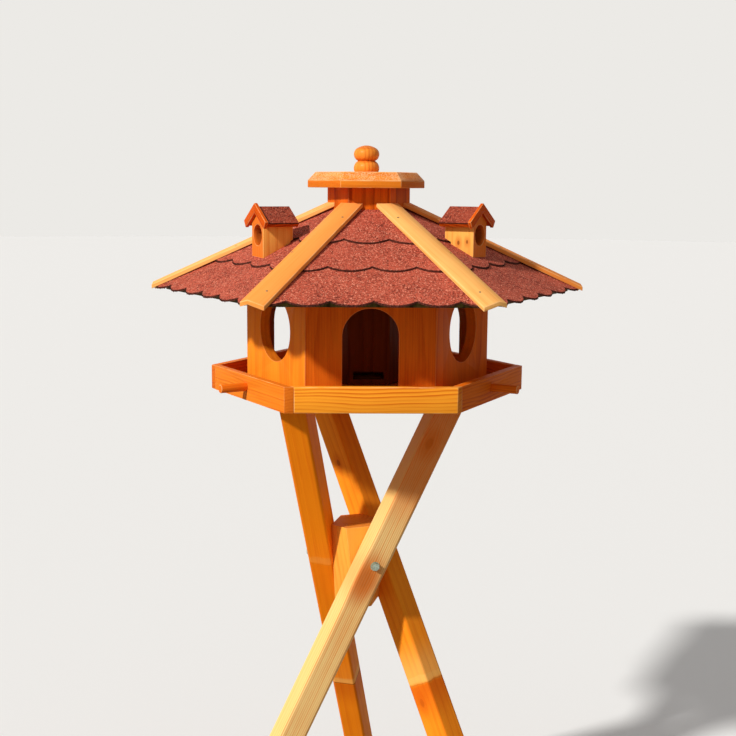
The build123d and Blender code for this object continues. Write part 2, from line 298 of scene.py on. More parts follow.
class Surface(Graph):
    """A material that is being built, with its main shader."""

    def __init__(self, name: str) -> None:
        """Starts the material.

        Args:
            name: The material's name.
        """
        self.material = bpy.data.materials.new(name)
        self.material.use_nodes = True
        super().__init__(self.material.node_tree)
        self.shader = self.tree.nodes["Principled BSDF"]

    def set(self, name: str, value: float) -> None:
        """Sets one of the shader's own values."""
        self.shader.inputs[name].default_value = value

    def end(self, colour: Feed, roughness: Feed, height: Feed, relief: tuple[float, float]) -> Finish:
        """Feeds the shader.

        Args:
            colour: The base colour.
            roughness: The roughness.
            height: The relief's height, from 0 to 1.
            relief: The relief's depth in metres, and its strength.

        Returns:
            The material.
        """
        inputs = {"Height": height, "Distance": relief[0], "Strength": relief[1]}
        normal = self.node("ShaderNodeBump", inputs).outputs[0]
        for name, value in (("Base Color", colour), ("Roughness", roughness), ("Normal", normal)):
            self.feed(self.shader.inputs[name], value)
        return self.material


class Effects:
    """Shader node groups that several finishes share."""

    def __init__(self) -> None:
        """Builds each group once."""
        self.ring_frame = self.build_ring_frame()
        self.gable_frame = self.build_gable_frame()
        self.knot = self.build_knot()
        self.whorl = self.build_whorl()
        self.grain = self.build_grain()
        self.scallop = self.build_scallop()
        self.granules = self.build_granules()
        self.speckle = self.build_speckle()

    @staticmethod
    def build_ring_frame() -> Tree:
        """Folds the six sides round the axis into one, so that all boards share one pattern frame.

        Returns:
            The group's tree.
        """
        takes = {"Vector": None, "Turn": 0.0, "Slope": 0.0}
        g = Group("ring_frame", takes, ("Outward", "Sideways", "Up", "Index"))
        turn, slope = g.given["Turn"], g.given["Slope"]
        x, y, z = g.split(g.given["Vector"])
        index = g.math("ROUND", g.over(g.minus(g.math("ARCTAN2", y, x), turn), SECTOR))
        facing = g.scaled(index, SECTOR, turn)
        c, s = g.math("COSINE", facing), g.math("SINE", facing)
        radial = g.plus(g.times(x, c), g.times(y, s))
        side = g.minus(g.times(y, c), g.times(x, s))
        tip, tilt = g.math("COSINE", slope), g.math("SINE", slope)
        along = g.minus(g.times(radial, tip), g.times(z, tilt))
        lift = g.plus(g.times(radial, tilt), g.times(z, tip))
        return g.end(Outward=along, Sideways=side, Up=lift, Index=index)

    @staticmethod
    def build_gable_frame() -> Tree:
        """Turns a pair of boards that meet at a ridge so that the pattern runs down each of them.

        Returns:
            The group's tree.
        """
        g = Group("gable_frame", {"Sideways": 0.0, "Up": 0.0, "Pitch": 0.6}, ("Down", "Across"))
        away, up = g.math("ABSOLUTE", g.given["Sideways"]), g.given["Up"]
        c, s = g.math("COSINE", g.given["Pitch"]), g.math("SINE", g.given["Pitch"])
        down = g.minus(g.times(away, c), g.times(up, s))
        return g.end(Down=down, Across=g.plus(g.times(away, s), g.times(up, c)))

    @staticmethod
    def build_knot() -> Tree:
        """Bends the grain round a knot and gives the masks of the knot and of the stain round it.

        Returns:
            The group's tree.
        """
        takes = {"Vector": None, "Along": 0.0, "Across": 0.0, "Radius": 0.01, "Bend": 0.8}
        g = Group("knot", takes, ("Vector", "Mask", "Halo"))
        along, across, through = g.split(g.given["Vector"])
        lengthwise = g.times(g.minus(along, g.given["Along"]), 0.6)
        sideways = g.minus(across, g.given["Across"])
        reach = g.math("SQRT", g.plus(g.squared(lengthwise), g.squared(sideways)))
        ratio = g.over(reach, g.given["Radius"])
        near = g.math("EXPONENT", g.times(g.squared(g.times(ratio, 0.42)), -1.0))
        bent = g.minus(across, g.times(sideways, g.times(near, g.given["Bend"])))
        mask, halo = g.span(ratio, 0.55, 1.1, 1.0, 0.0), g.span(ratio, 0.9, 3.6, 1.0, 0.0)
        return g.end(Vector=g.join(along, bent, through), Mask=mask, Halo=halo)

    @staticmethod
    def build_whorl() -> Tree:
        """Gives the pale ring where a trunk once branched, the dark crack in it and the stain below.

        Returns:
            The group's tree.
        """
        takes = {"Vector": None, "Place": 0.0, "Width": 0.012, "Rise": 0.6}
        g = Group("whorl", takes, ("Pale", "Crack", "Stain"))
        off = g.minus(g.split(g.given["Vector"])[0], g.given["Place"])
        off = g.sway(g.noise(g.given["Vector"], 34.0), 0.014, off)
        ratio = g.over(off, g.given["Width"])
        ring = g.span(g.math("ABSOLUTE", ratio), 0.3, 1.0, 1.0, 0.0)
        above = g.times(g.span(ratio, -0.6, 0.2), g.span(ratio, 0.5, 7.0, g.given["Rise"], 0.0))
        crack = g.span(g.math("ABSOLUTE", g.plus(ratio, 0.8)), 0.0, 0.2, 1.0, 0.0)
        stain = g.times(g.span(ratio, -8.0, -1.5), g.span(ratio, -1.3, -0.4, 1.0, 0.0))
        return g.end(Pale=g.math("MAXIMUM", ring, above), Crack=crack, Stain=stain)

    @staticmethod
    def build_grain() -> Tree:
        """Solid softwood: year rings round a pith, fibres, boards side by side and uneven glaze.

        Returns:
            The group's tree.
        """
        takes = {
            "Vector": None, "Seed": 0.0, "Board Width": 1.0, "Ring Spacing": 0.006, "Wave": 0.02,
            "Pith": 0.06, "Contrast": 0.8, "Joint": 0.5, "Early": (0.8, 0.4, 0.1), "Late": (0.5, 0.2, 0.05),
        }
        g = Group("grain", takes, ("Color", "Height", "Fibre"))
        given = g.given
        along, across, through = g.split(given["Vector"])
        place = g.plus(g.over(across, given["Board Width"]), 0.37)
        seed = g.times(given["Seed"], 3.77)
        first, second, third = g.chance(g.scaled(g.math("FLOOR", place), 7.13, seed))
        along = g.scaled(third, 5.0, along)
        across = g.sway(first, 0.11, across)
        through = g.plus(g.scaled(second, 0.05, through), given["Pith"])
        board = g.join(along, across, through)
        swing = g.split(g.noise(g.stretched(board, (3.2, 9.0, 9.0)), 1.0, 2.5, output=1))
        aside = g.sway(swing[0], given["Wave"], across)
        inward = g.sway(swing[1], given["Wave"], through)
        year = g.over(g.math("SQRT", g.plus(g.squared(aside), g.squared(inward))), given["Ring Spacing"])
        season = g.math("FRACT", year)
        late = g.times(g.span(season, 0.25, 0.9), g.span(season, 0.9, 1.0, 1.0, 0.0))
        late = g.times(late, g.scaled(g.chance(g.math("FLOOR", year))[0], 0.8, 0.35))
        fibre = g.noise(g.stretched(board, (9.0, 420.0, 420.0)), 1.0, 3.0)
        blotch = g.noise(g.stretched(board, (7.0, 22.0, 1.0)), 1.0, 3.0)
        depth = g.times(late, given["Contrast"])
        for part, width in ((fibre, 0.9), (blotch, 0.9), (second, 0.3)):
            depth = g.sway(part, width, depth)
        middle = g.math("ABSOLUTE", g.minus(g.math("FRACT", place), 0.5))
        rim = g.times(g.minus(0.5, middle), given["Board Width"])
        joint = g.times(g.span(rim, 0.0, 0.0009, 1.0, 0.0), given["Joint"])
        colour = g.mix(g.span(depth, -0.35, 1.15), given["Early"], given["Late"])
        height = g.scaled(late, 0.5, g.times(fibre, 0.6))
        height = g.minus(height, g.times(joint, 2.6))
        return g.end(Color=g.mix(joint, colour, (0.02, 0.006, 0.002)), Height=height, Fibre=fibre)

    @staticmethod
    def build_scallop() -> Tree:
        """Distance, in plan, from a course's scalloped lower edge.

        Returns:
            The group's tree.
        """
        takes = {"Outward": 0.0, "Sideways": 0.0, "Edge": 0.3, "Pitch": 0.07, "Offset": 0.0, "Depth": 0.012}
        g = Group("scallop_edge", takes, ("Distance",))
        pitch, depth = g.given["Pitch"], g.given["Depth"]
        half = g.times(pitch, 0.5)
        radius = g.over(g.plus(g.squared(half), g.squared(depth)), g.times(depth, 2.0))
        lobe = g.math("FRACT", g.minus(g.over(g.given["Sideways"], pitch), g.given["Offset"]))
        off = g.minus(g.times(lobe, pitch), half)
        sag = g.math("SQRT", g.minus(g.squared(radius), g.squared(off)))
        edge = g.plus(g.minus(g.given["Edge"], radius), sag)
        return g.end(Distance=g.minus(edge, g.given["Outward"]))

    @staticmethod
    def build_granules() -> Tree:
        """Crushed slate pressed into bitumen: a colour for each grain, and the grains' height.

        Returns:
            The group's tree.
        """
        takes = {
            "Vector": None, "Size": 0.002,
            "Dark": (0.1, 0.03, 0.02), "Body": (0.3, 0.1, 0.07), "Light": (0.6, 0.25, 0.2),
        }
        g = Group("granules", takes, ("Color", "Height"))
        here = g.given["Vector"]
        scaled = g.resized(here, g.over(1.0, g.given["Size"]))
        cells = g.node("ShaderNodeTexVoronoi", {"Vector": scaled, "Scale": 1.0})
        tone, gleam, _ = g.split(cells.outputs["Color"])
        patch = g.noise(here, 14.0, 4.0)
        shade = g.sway(g.noise(here, 70.0, 3.0), 0.8, g.sway(patch, 1.1, tone))
        colour = g.mix(g.span(shade, -0.1, 0.75), g.given["Dark"], g.given["Body"])
        colour = g.mix(g.span(gleam, 0.78, 0.97), colour, g.given["Light"])
        height = g.scaled(patch, 0.6, g.minus(1.0, cells.outputs["Distance"]))
        return g.end(Color=colour, Height=height)

    @staticmethod
    def build_speckle() -> Tree:
        """Fine pale spots on faces that look up: partly speckle in the glaze, partly painted sheen of light
        on those faces.

        Returns:
            The group's tree.
        """
        g = Group("speckle", {"Vector": None, "Facing": 1.0}, ("Mask",))
        here = g.given["Vector"]
        spots = g.sway(g.noise(here, 30.0), 0.5, g.noise(here, 460.0, 3.0))
        return g.end(Mask=g.times(g.span(spots, 0.36, 0.7), g.span(g.given["Facing"], 0.1, 0.6)))


class Run(Enum):
    """Way in which a board's grain runs: the frame's parts taken as along, across and through."""

    UPRIGHT = ("Up", "Sideways", "Outward")
    UPRIGHT_BLOCK = ("Up", "Outward", "Sideways")
    SIDEWAYS = ("Sideways", "Up", "Outward")
    OUTWARD = ("Outward", "Sideways", "Up")

    def axis(self) -> Vector:
        """Gives the direction of the grain in a board's own frame."""
        return Vector({"Outward": (1, 0, 0), "Sideways": (0, 1, 0), "Up": (0, 0, 1)}[self.value[0]])


@dataclass(frozen=True)
class Knot:
    """A knot on a board, placed along and across it, in metres."""

    along: float
    across: float
    radius: float
    core: float = 0.8
    halo: float = 0.45
    bend: float = 0.8


@dataclass(frozen=True)
class Whorl:
    """Place along a leg where branches once stood: pale ring, stain below it, crack between them."""

    along: float
    pale: float
    rise: float
    stain: float
    crack: float


@dataclass(frozen=True)
class Drift:
    """Slow change of colour between two heights in a board's own frame, from one strength to another; it
    serves as painted shade.
    """

    low: float
    high: float
    start: float
    end: float
    colour: Colour = paint(92, 34, 12)


@dataclass(frozen=True)
class FrontBoard:
    """Board of the glaze's deeper tint on a block's front, with painted shade inside its hole; the block's
    paler colour round it is painted sunlight on its sides.
    """

    half_width: float
    tint: Colour
    cover: float = 0.85
    shade: float = 0.6


@dataclass(frozen=True)
class RingPlace:
    """Pattern frame that repeats on the six sides: sideways round the axis, tipped by a slope."""

    turn: float = HALF_SECTOR
    slope: float = 0.0

    def sockets(self, g: Graph, effects: Effects) -> Parts:
        """Gives the frame's parts in a material."""
        return g.place(effects.ring_frame, {"Vector": g.here(), "Turn": self.turn, "Slope": self.slope})


@dataclass(frozen=True)
class GablePlace:
    """Pattern frame of a pair of boards over a dormer's ridge."""

    pitch: float

    def sockets(self, g: Graph, effects: Effects) -> Parts:
        """Gives the frame's parts in a material.

        Args:
            g: The material's graph.
            effects: The shared node groups.

        Returns:
            The parts by name.
        """
        parts = RingPlace().sockets(g, effects)
        inputs = {"Sideways": parts["Sideways"], "Up": parts["Up"], "Pitch": self.pitch}
        made = g.place(effects.gable_frame, inputs)
        index = g.plus(parts["Index"], g.math("SIGN", parts["Sideways"]))
        return {"Outward": parts["Outward"], "Sideways": made["Down"], "Up": made["Across"], "Index": index}


@dataclass(frozen=True)
class SetPlace:
    """Pattern frame of one board, given by the board's own place."""

    matrix: Matrix

    def sockets(self, g: Graph, effects: Effects) -> Parts:
        """Gives the frame's parts in a material.

        Args:
            g: The material's graph.
            effects: The shared node groups, of which this frame needs none.

        Returns:
            The parts by name.
        """
        back = self.matrix.inverted()
        inputs = {"Vector": g.here(), "Location": back.translation, "Rotation": back.to_euler("XYZ")}
        x, y, z = g.split(g.node("ShaderNodeMapping", inputs).outputs[0])
        return {"Outward": x, "Sideways": y, "Up": z, "Index": 0.0}


def side_place(face: int) -> SetPlace:
    """Pattern frame of a board on one of the six sides."""
    return SetPlace(Matrix.Rotation(SECTOR * face + HALF_SECTOR, 4, "Z"))


@dataclass(frozen=True)
class Timber:
    """Glazed softwood."""

    name: str
    early: Colour
    late: Colour
    run: Run = Run.UPRIGHT
    ring_spacing: float = 0.007
    wave: float = 0.02
    pith: float = 0.05
    board_width: float = 1.0
    contrast: float = 0.8
    quarter_sawn: bool = False
    seed: float = 0.0
    roughness: float = 0.52
    matting: float = 0.22
    coat: float = 0.0
    coat_roughness: float = 0.3
    specular: float = 0.04
    relief: float = 0.0005
    bump: float = 0.7
    speckle: float = 0.0
    deeper: tuple[tuple[int, float], ...] = ()
    knots: tuple[Knot, ...] = ()
    whorls: tuple[Whorl, ...] = ()
    front_board: FrontBoard | None = None
    painted_shade_drift: Drift | None = None
    end_grain: float = 0.45
    painted_side_sheen: float = 0.0
    joint: float = 0.5
    worn: float = 0.6
    worn_colour: Colour = paint(255, 200, 134)
    pale: Colour = paint(255, 205, 130)
    stain: Colour = paint(196, 84, 14)
    knot_colour: Colour = paint(110, 44, 12)

    def growth(self, g: Graph, effects: Effects, parts: Parts) -> tuple[Parts, Socket, Socket]:
        """Adds what grew in the wood: its grain, knots and whorls.

        Args:
            g: The material's graph.
            effects: The shared node groups.
            parts: The parts of the board's pattern frame.

        Returns:
            The grain's outputs, the colour with knots and whorls, and the place in the wood.
        """
        here = g.join(*(parts[name] for name in self.run.value))
        bends = []
        for knot in self.knots:
            inputs = {"Along": knot.along, "Across": knot.across, "Radius": knot.radius, "Bend": knot.bend}
            bends.append(g.place(effects.knot, {"Vector": here, **inputs}))
            here = bends[-1]["Vector"]
        if self.quarter_sawn:
            along, across, through = g.split(here)
            here = g.join(along, through, across)
        wood = g.place(effects.grain, {
            "Vector": here, "Seed": g.plus(parts["Index"], self.seed), "Board Width": self.board_width,
            "Ring Spacing": self.ring_spacing, "Wave": self.wave, "Pith": self.pith, "Joint": self.joint,
            "Contrast": self.contrast, "Early": self.early, "Late": self.late,
        })
        colour = wood["Color"]
        for index, amount in self.deeper:
            same = g.math("COMPARE", parts["Index"], float(index), 0.5)
            colour = g.tint(colour, self.stain, same, amount)
        for knot, bend in zip(self.knots, bends):
            colour = g.tint(colour, self.stain, bend["Halo"], knot.halo)
            colour = g.tint(colour, self.knot_colour, bend["Mask"], knot.core)
        for whorl in self.whorls:
            ring = g.place(effects.whorl, {"Vector": here, "Place": whorl.along, "Rise": whorl.rise})
            colour = g.tint(colour, self.stain, ring["Stain"], whorl.stain)
            colour = g.tint(colour, self.pale, ring["Pale"], whorl.pale)
            colour = g.tint(colour, self.knot_colour, ring["Crack"], whorl.crack)
        return wood, colour, here

    def wear_and_painted_light(self, g: Graph, colour: Socket, parts: Parts, here: Socket) -> Socket:
        """Adds a front board with painted shade in its hole, pale edges that are part wear and part painted
        glint, and a slow change of colour that is painted shade.

        Args:
            g: The material's graph.
            colour: The wood's colour.
            parts: The parts of the board's pattern frame.
            here: The place in the wood.

        Returns:
            The new colour.
        """
        board = self.front_board
        if board:
            within = g.math("LESS_THAN", g.math("ABSOLUTE", parts["Sideways"]), board.half_width)
            colour = g.tint(colour, board.tint, within, board.cover)
            # Painted shade inside the hole: darker with depth behind the front.
            painted_hole_shade = g.span(parts["Outward"], -0.009, -0.001, board.shade, 0.0)
            colour = g.tint(colour, self.knot_colour, within, painted_hole_shade)
        # Pale eased edges: partly rubbed glaze, partly a painted glint of light along them.
        edge = g.node("ShaderNodeAttribute", attribute_name="worn").outputs["Fac"]
        edge_wear_and_glint = g.span(g.noise(here, 42.0, 3.0), 0.34, 0.66, 0.15, self.worn)
        colour = g.tint(colour, self.worn_colour, edge, edge_wear_and_glint)
        # Painted shade: the drift darkens a board between two heights where shade falls on it.
        if self.painted_shade_drift:
            amount = g.span(parts["Up"], self.painted_shade_drift.low, self.painted_shade_drift.high, self.painted_shade_drift.start, self.painted_shade_drift.end)
            colour = g.mix(amount, colour, self.painted_shade_drift.colour)
        return colour

    def material(self, effects: Effects, place: Union[RingPlace, GablePlace, SetPlace]) -> Finish:
        """Makes the material.

        Args:
            effects: The shared node groups.
            place: The frame that the grain follows.

        Returns:
            The new material.
        """
        g = Surface(self.name)
        parts = place.sockets(g, effects)
        wood, colour, here = self.growth(g, effects, parts)
        colour = self.wear_and_painted_light(g, colour, parts, here)
        if isinstance(place, SetPlace):
            turn = place.matrix.to_3x3()
            cut = g.math("ABSOLUTE", g.facing(turn @ self.run.axis()))
            colour = g.mix(g.span(cut, 0.5, 0.8, 0.0, self.end_grain), colour, self.stain)
            # Painted sheen: faces turned to the board's own -Y side, the front leg's left face, are mixed
            # towards the pale colour for the glare of light on them.
            if self.painted_side_sheen:
                side = g.facing(turn @ Vector((0.0, -1.0, 0.0)))
                colour = g.mix(g.span(side, 0.45, 0.95, 0.0, self.painted_side_sheen), colour, self.pale)
        # Pale spots on up-facing faces, part speckle and part painted sheen.
        if self.speckle:
            inputs = {"Vector": g.here(), "Facing": g.facing(Vector((0.0, 0.0, 1.0)))}
            spots = g.place(effects.speckle, inputs)["Mask"]
            colour = g.tint(colour, self.pale, spots, self.speckle)
        g.set("Coat Weight", self.coat)
        g.set("Coat Roughness", self.coat_roughness)
        g.set("Specular IOR Level", self.specular)
        rough = g.scaled(wood["Fibre"], self.matting, self.roughness - self.matting / 2)
        return g.end(colour, rough, wood["Height"], (self.relief, self.bump))


@dataclass(frozen=True)
class Course:
    """One course of scalloped shingles: where its edge lies and how its lobes repeat."""

    name: str
    edge: float
    pitch: float
    offset: float
    depth: float = 0.012


@dataclass(frozen=True)
class SlateFelt:
    """Red mineral felt, dark and ragged along its cut edges, whose bitumen colour is deepened to near black
    as painted shade of the gap under each lobe.
    """

    dark: Colour = paint(118, 44, 32)
    body: Colour = paint(192, 88, 66)
    light: Colour = paint(224, 138, 112)
    bitumen_and_gap_shade: Colour = paint(56, 26, 19)
    grain: float = 0.0019
    bare: float = 0.85
    specular: float = 0.2
    relief: float = 0.0012
    bump: float = 0.9

    def torn_edge(self, g: Graph, effects: Effects, course: Course) -> Socket:
        """Gives the mask of the ragged bare strip along a course's lower edge.

        Args:
            g: The material's graph.
            effects: The shared node groups.
            course: The course.

        Returns:
            The strip's mask.
        """
        parts = RingPlace().sockets(g, effects)
        inputs = {name: parts[name] for name in ("Outward", "Sideways")}
        sizes = {"Edge": course.edge, "Pitch": course.pitch, "Offset": course.offset, "Depth": course.depth}
        edge = g.place(effects.scallop, {**inputs, **sizes})["Distance"]
        torn = g.scaled(g.noise(g.here(), 260.0, 3.0), 0.006, -0.0030)
        return g.span(g.minus(edge, torn), -0.0006, 0.0012, 1.0, 0.0)

    def material(self, effects: Effects, course: Course | None = None) -> Finish:
        """Makes the material of a course, or of plain felt.

        Args:
            effects: The shared node groups.
            course: The course that it covers, or None for plain felt.

        Returns:
            The material.
        """
        g = Surface(f"felt_{course.name if course else 'plain'}")
        inputs = {"Size": self.grain, "Dark": self.dark, "Body": self.body, "Light": self.light}
        grains = g.place(effects.granules, {"Vector": g.here(), **inputs})
        bare = g.span(g.upward(), 0.35, 0.6, 1.0, 0.0)
        if course:
            bare = g.math("MAXIMUM", bare, self.torn_edge(g, effects, course))
        g.set("Specular IOR Level", self.specular)
        # The bare edges take a near-black colour, part real bitumen and part painted shade of the gap under
        # each lobe.
        colour, height = g.tint(grains["Color"], self.bitumen_and_gap_shade, bare, self.bare), grains["Height"]
        return g.end(colour, g.scaled(height, -0.1, 0.95), height, (self.relief, self.bump))


@dataclass(frozen=True)
class DarkDeck:
    """Roof deck: glazed boards below, dark underlay on top and round the edge."""

    timber: Timber
    underlay: Colour = paint(126, 108, 54)
    underlay_dark: Colour = paint(62, 52, 26)

    def material(self, effects: Effects) -> Finish:
        """Makes the material from the timber's own.

        Args:
            effects: The shared node groups.

        Returns:
            The material.
        """
        made = self.timber.material(effects, RingPlace(HALF_SECTOR, ROOF_PITCH))
        g = Graph(made.node_tree)
        shown = made.node_tree.nodes["Principled BSDF"].inputs["Base Color"]
        wood = shown.links[0].from_socket
        dark = g.mix(g.span(g.noise(g.here(), 90.0, 4.0), 0.3, 0.7), self.underlay_dark, self.underlay)
        g.feed(shown, g.mix(g.span(g.upward(), -0.75, -0.6), wood, dark))
        return made


@dataclass(frozen=True)
class ZincSteel:
    """Galvanised steel with crystal patches and dull spots."""

    name: str = "zinc_steel"
    bright: Colour = paint(196, 206, 188)
    dull: Colour = paint(128, 140, 122)
    metallic: float = 0.85
    crystals: float = 420.0
    relief: float = 0.0002
    bump: float = 0.5

    def material(self) -> Finish:
        """Makes the material.

        Returns:
            The material.
        """
        g = Surface(self.name)
        here = g.here()
        crystals = g.node("ShaderNodeTexVoronoi", {"Vector": here, "Scale": self.crystals})
        tone = g.split(crystals.outputs["Color"])[0]
        dirt = g.noise(here, 160.0, 4.0)
        colour = g.mix(g.times(g.plus(tone, dirt), 0.5), self.dull, self.bright)
        g.set("Metallic", self.metallic)
        return g.end(colour, g.scaled(dirt, 0.35, 0.28), dirt, (self.relief, self.bump))


def linked(name: str, data: Any) -> Piece:
    """Makes an object of a mesh, a lamp or a camera, at the origin of the scene.

    Args:
        name: The object's name.
        data: Its mesh, lamp or camera.

    Returns:
        The object.
    """
    made = bpy.data.objects.new(name, data)
    bpy.context.scene.collection.objects.link(made)
    return made


def plain_mesh(holder: Piece, name: str) -> Piece:
    """Turns an object with live modifiers into a plain mesh object.

    Args:
        holder: The object, which is removed.
        name: The new object's name.

    Returns:
        The new object, at the origin.
    """
    bpy.context.view_layer.update()
    graph = bpy.context.evaluated_depsgraph_get()
    mesh = bpy.data.meshes.new_from_object(holder.evaluated_get(graph), depsgraph=graph)
    bpy.data.objects.remove(holder)
    mesh.name = name
    return linked(name, mesh)


def merged_copy(node: str, name: str) -> Piece:
    """Copies a CAD node as one closed mesh with whole flat faces.

    Args:
        node: The CAD node.
        name: The copy's name.

    Returns:
        The copy, linked to the scene.
    """
    work = bmesh.new()
    work.from_mesh(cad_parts[node].data)
    bmesh.ops.remove_doubles(work, verts=work.verts, dist=WELD)
    bmesh.ops.dissolve_limit(work, angle_limit=FLAT, verts=work.verts, edges=work.edges)
    bmesh.ops.recalc_face_normals(work, faces=work.faces)
    mesh = bpy.data.meshes.new(name)
    work.to_mesh(mesh)
    work.free()
    return linked(name, mesh)


def dress(piece: Piece, material: Finish) -> None:
    """Gives a whole object one material.

    Args:
        piece: The object.
        material: Its material.
    """
    piece.data.materials.clear()
    piece.data.materials.append(material)
    for face in piece.data.polygons:
        face.material_index = 0


def dress_node(node: str, material: Finish) -> None:
    """Gives a CAD node a material through its object's own slots.

    Args:
        node: The CAD node.
        material: Its material.
    """
    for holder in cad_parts[node].material_slots:
        holder.material = material
    LOG.info("node %s in %s", node, material.name)


def settle(piece: Piece, body: str = FEEDER) -> None:
    """Makes a new piece ride on its body.

    Args:
        piece: The piece.
        body: The body that it rides on.
    """
    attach(piece, body)
    LOG.info("piece %s, %d faces", piece.name, len(piece.data.polygons))


def eased_board(node: str, material: Finish, ease: float = 0.0014, body: str = FEEDER) -> None:
    """Stands a board with eased edges, marked for pale wear and painted glint, in a CAD node's place.

    Args:
        node: The CAD node.
        material: Its finish.
        ease: Width of the rounding of its edges, in metres.
        body: The body that it rides on.
    """
    work = merged_copy(node, f"{node}_blank")
    work.data.materials.append(None)
    work.data.materials.append(None)
    bevel = work.modifiers.new("ease", "BEVEL")
    bevel.width = ease
    bevel.segments = 2
    bevel.limit_method = "ANGLE"
    bevel.angle_limit = SHARP
    bevel.material = 1
    made = plain_mesh(work, f"{node}_eased")
    worn = made.data.attributes.new("worn", "FLOAT", "FACE")
    for item, face in zip(worn.data, made.data.polygons):
        item.value = float(face.material_index)
        face.use_smooth = True
    made.data.set_sharp_from_angle(angle=SHARP)
    dress(made, material)
    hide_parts(node)
    settle(made, body)


class GeometryTree(Group):
    """A geometry node tree with named inputs, run on a copy of a mesh."""

    def __init__(self, name: str, takes: dict[str, Any]) -> None:
        """Starts the tree with a geometry socket in and out, its sizes and its material."""
        super().__init__(name, {"Geometry": None, **takes, "Material": None}, ("Geometry",), "Geometry")

    def set_on(self, points: Socket, item: Socket, turn: Socket, size: Socket) -> None:
        """Ends the tree: an item on each point, made real, with the material set.

        Args:
            points: The points.
            item: The item's mesh.
            turn: The rotation at each point.
            size: The scale at each point.
        """
        inputs = {"Points": points, "Instance": item, "Rotation": turn, "Scale": size}
        spread = self.node("GeometryNodeInstanceOnPoints", inputs).outputs[0]
        real = self.node("GeometryNodeRealizeInstances", {0: spread}).outputs[0]
        inputs = {"Geometry": real, "Material": self.given["Material"]}
        self.end(Geometry=self.node("GeometryNodeSetMaterial", inputs).outputs[0])

    def run(self, holder: Piece, name: str, values: dict[str, Any]) -> Piece:
        """Runs the tree on an object and keeps the result as a plain mesh.

        Args:
            holder: The object whose mesh goes in; it is removed.
            name: The new piece's name.
            values: The tree's inputs by name.

        Returns:
            The new piece.
        """
        modifier = holder.modifiers.new(self.tree.name, "NODES")
        modifier.node_group = self.tree
        for item in self.tree.interface.items_tree:
            if item.in_out == "INPUT" and item.name in values:
                modifier[item.identifier] = values[item.name]
        return plain_mesh(holder, name)


class GrainScatter(GeometryTree):
    """Loose grains scattered on the faces that look the right way."""

    least: Colour = (0.55, 0.55, 0.45)
    most: Colour = (1.3, 1.2, 0.9)

    def __init__(self) -> None:
        """Builds the tree."""
        sizes = {"Density": 1000.0, "Size": 0.001, "Lowest": 0.5, "Highest": 1.0, "Seed": 1}
        super().__init__("grain_scatter", sizes)
        given = self.given
        slope = self.split(self.node("GeometryNodeInputNormal").outputs[0])[2]
        above = self.math("GREATER_THAN", slope, given["Lowest"])
        below = self.math("LESS_THAN", slope, given["Highest"])
        points = self.node("GeometryNodeDistributePointsOnFaces", {
            "Mesh": given["Geometry"], "Selection": self.times(above, below),
            "Density": given["Density"], "Seed": given["Seed"],
        })
        stone = self.node("GeometryNodeMeshUVSphere", {"Segments": 4, "Rings": 2, "Radius": 1.0})
        turn = self.random_parts((0.0, 0.0, 0.0), (math.tau, math.tau, math.tau), given["Seed"])
        stretch = self.random_parts(self.least, self.most, self.plus(given["Seed"], 7.0))
        size = self.resized(stretch, given["Size"])
        self.set_on(points.outputs["Points"], stone.outputs["Mesh"], turn, size)

    def random_parts(self, least: Colour, most: Colour, seed: Socket) -> Socket:
        """Gives three random parts between two limits."""
        inputs = {0: least, 1: most, "Seed": seed}
        return self.node("FunctionNodeRandomValue", inputs, data_type="FLOAT_VECTOR").outputs[0]


class HeadTree(GeometryTree):
    """Low domed nail heads, one on each point, square to the wood there."""

    def __init__(self) -> None:
        """Builds the tree."""
        super().__init__("nail_heads", {"Radius": 0.002, "Rise": 0.0006})
        dome = self.node("GeometryNodeMeshUVSphere", {"Segments": 14, "Rings": 8, "Radius": 1.0})
        facing = self.node("GeometryNodeInputNamedAttribute", {"Name": "facing"}, data_type="FLOAT_VECTOR")
        turn = self.node("FunctionNodeAlignRotationToVector", {"Vector": facing.outputs[0]}, axis="Z")
        size = self.join(self.given["Radius"], self.given["Radius"], self.given["Rise"])
        self.set_on(self.given["Geometry"], dome.outputs["Mesh"], turn.outputs[0], size)


def point_mesh(name: str, spots: list[tuple[Vector, Vector]]) -> Piece:
    """Makes a mesh of loose points, each with the direction that it faces.

    Args:
        name: The object's name.
        spots: Pairs of a point and its direction.

    Returns:
        The object, linked to the scene.
    """
    mesh = bpy.data.meshes.new(name)
    mesh.from_pydata([spot for spot, _ in spots], [], [])
    facing = mesh.attributes.new("facing", "FLOAT_VECTOR", "POINT")
    for item, (_, direction) in zip(facing.data, spots):
        item.vector = direction.normalized()
    return linked(name, mesh)


@dataclass
class Workshop:
    """What all sub-assemblies share: effects, trees and the glaze's common colours."""

    effects: Effects = field(default_factory=Effects)
    scatter: GrainScatter = field(default_factory=GrainScatter)
    heads: HeadTree = field(default_factory=HeadTree)
    glaze: tuple[Colour, Colour] = (paint(242, 122, 26), paint(190, 70, 9))


@dataclass
class Assembly:
    """A sub-assembly, finished with what the workshop holds."""

    shop: Workshop


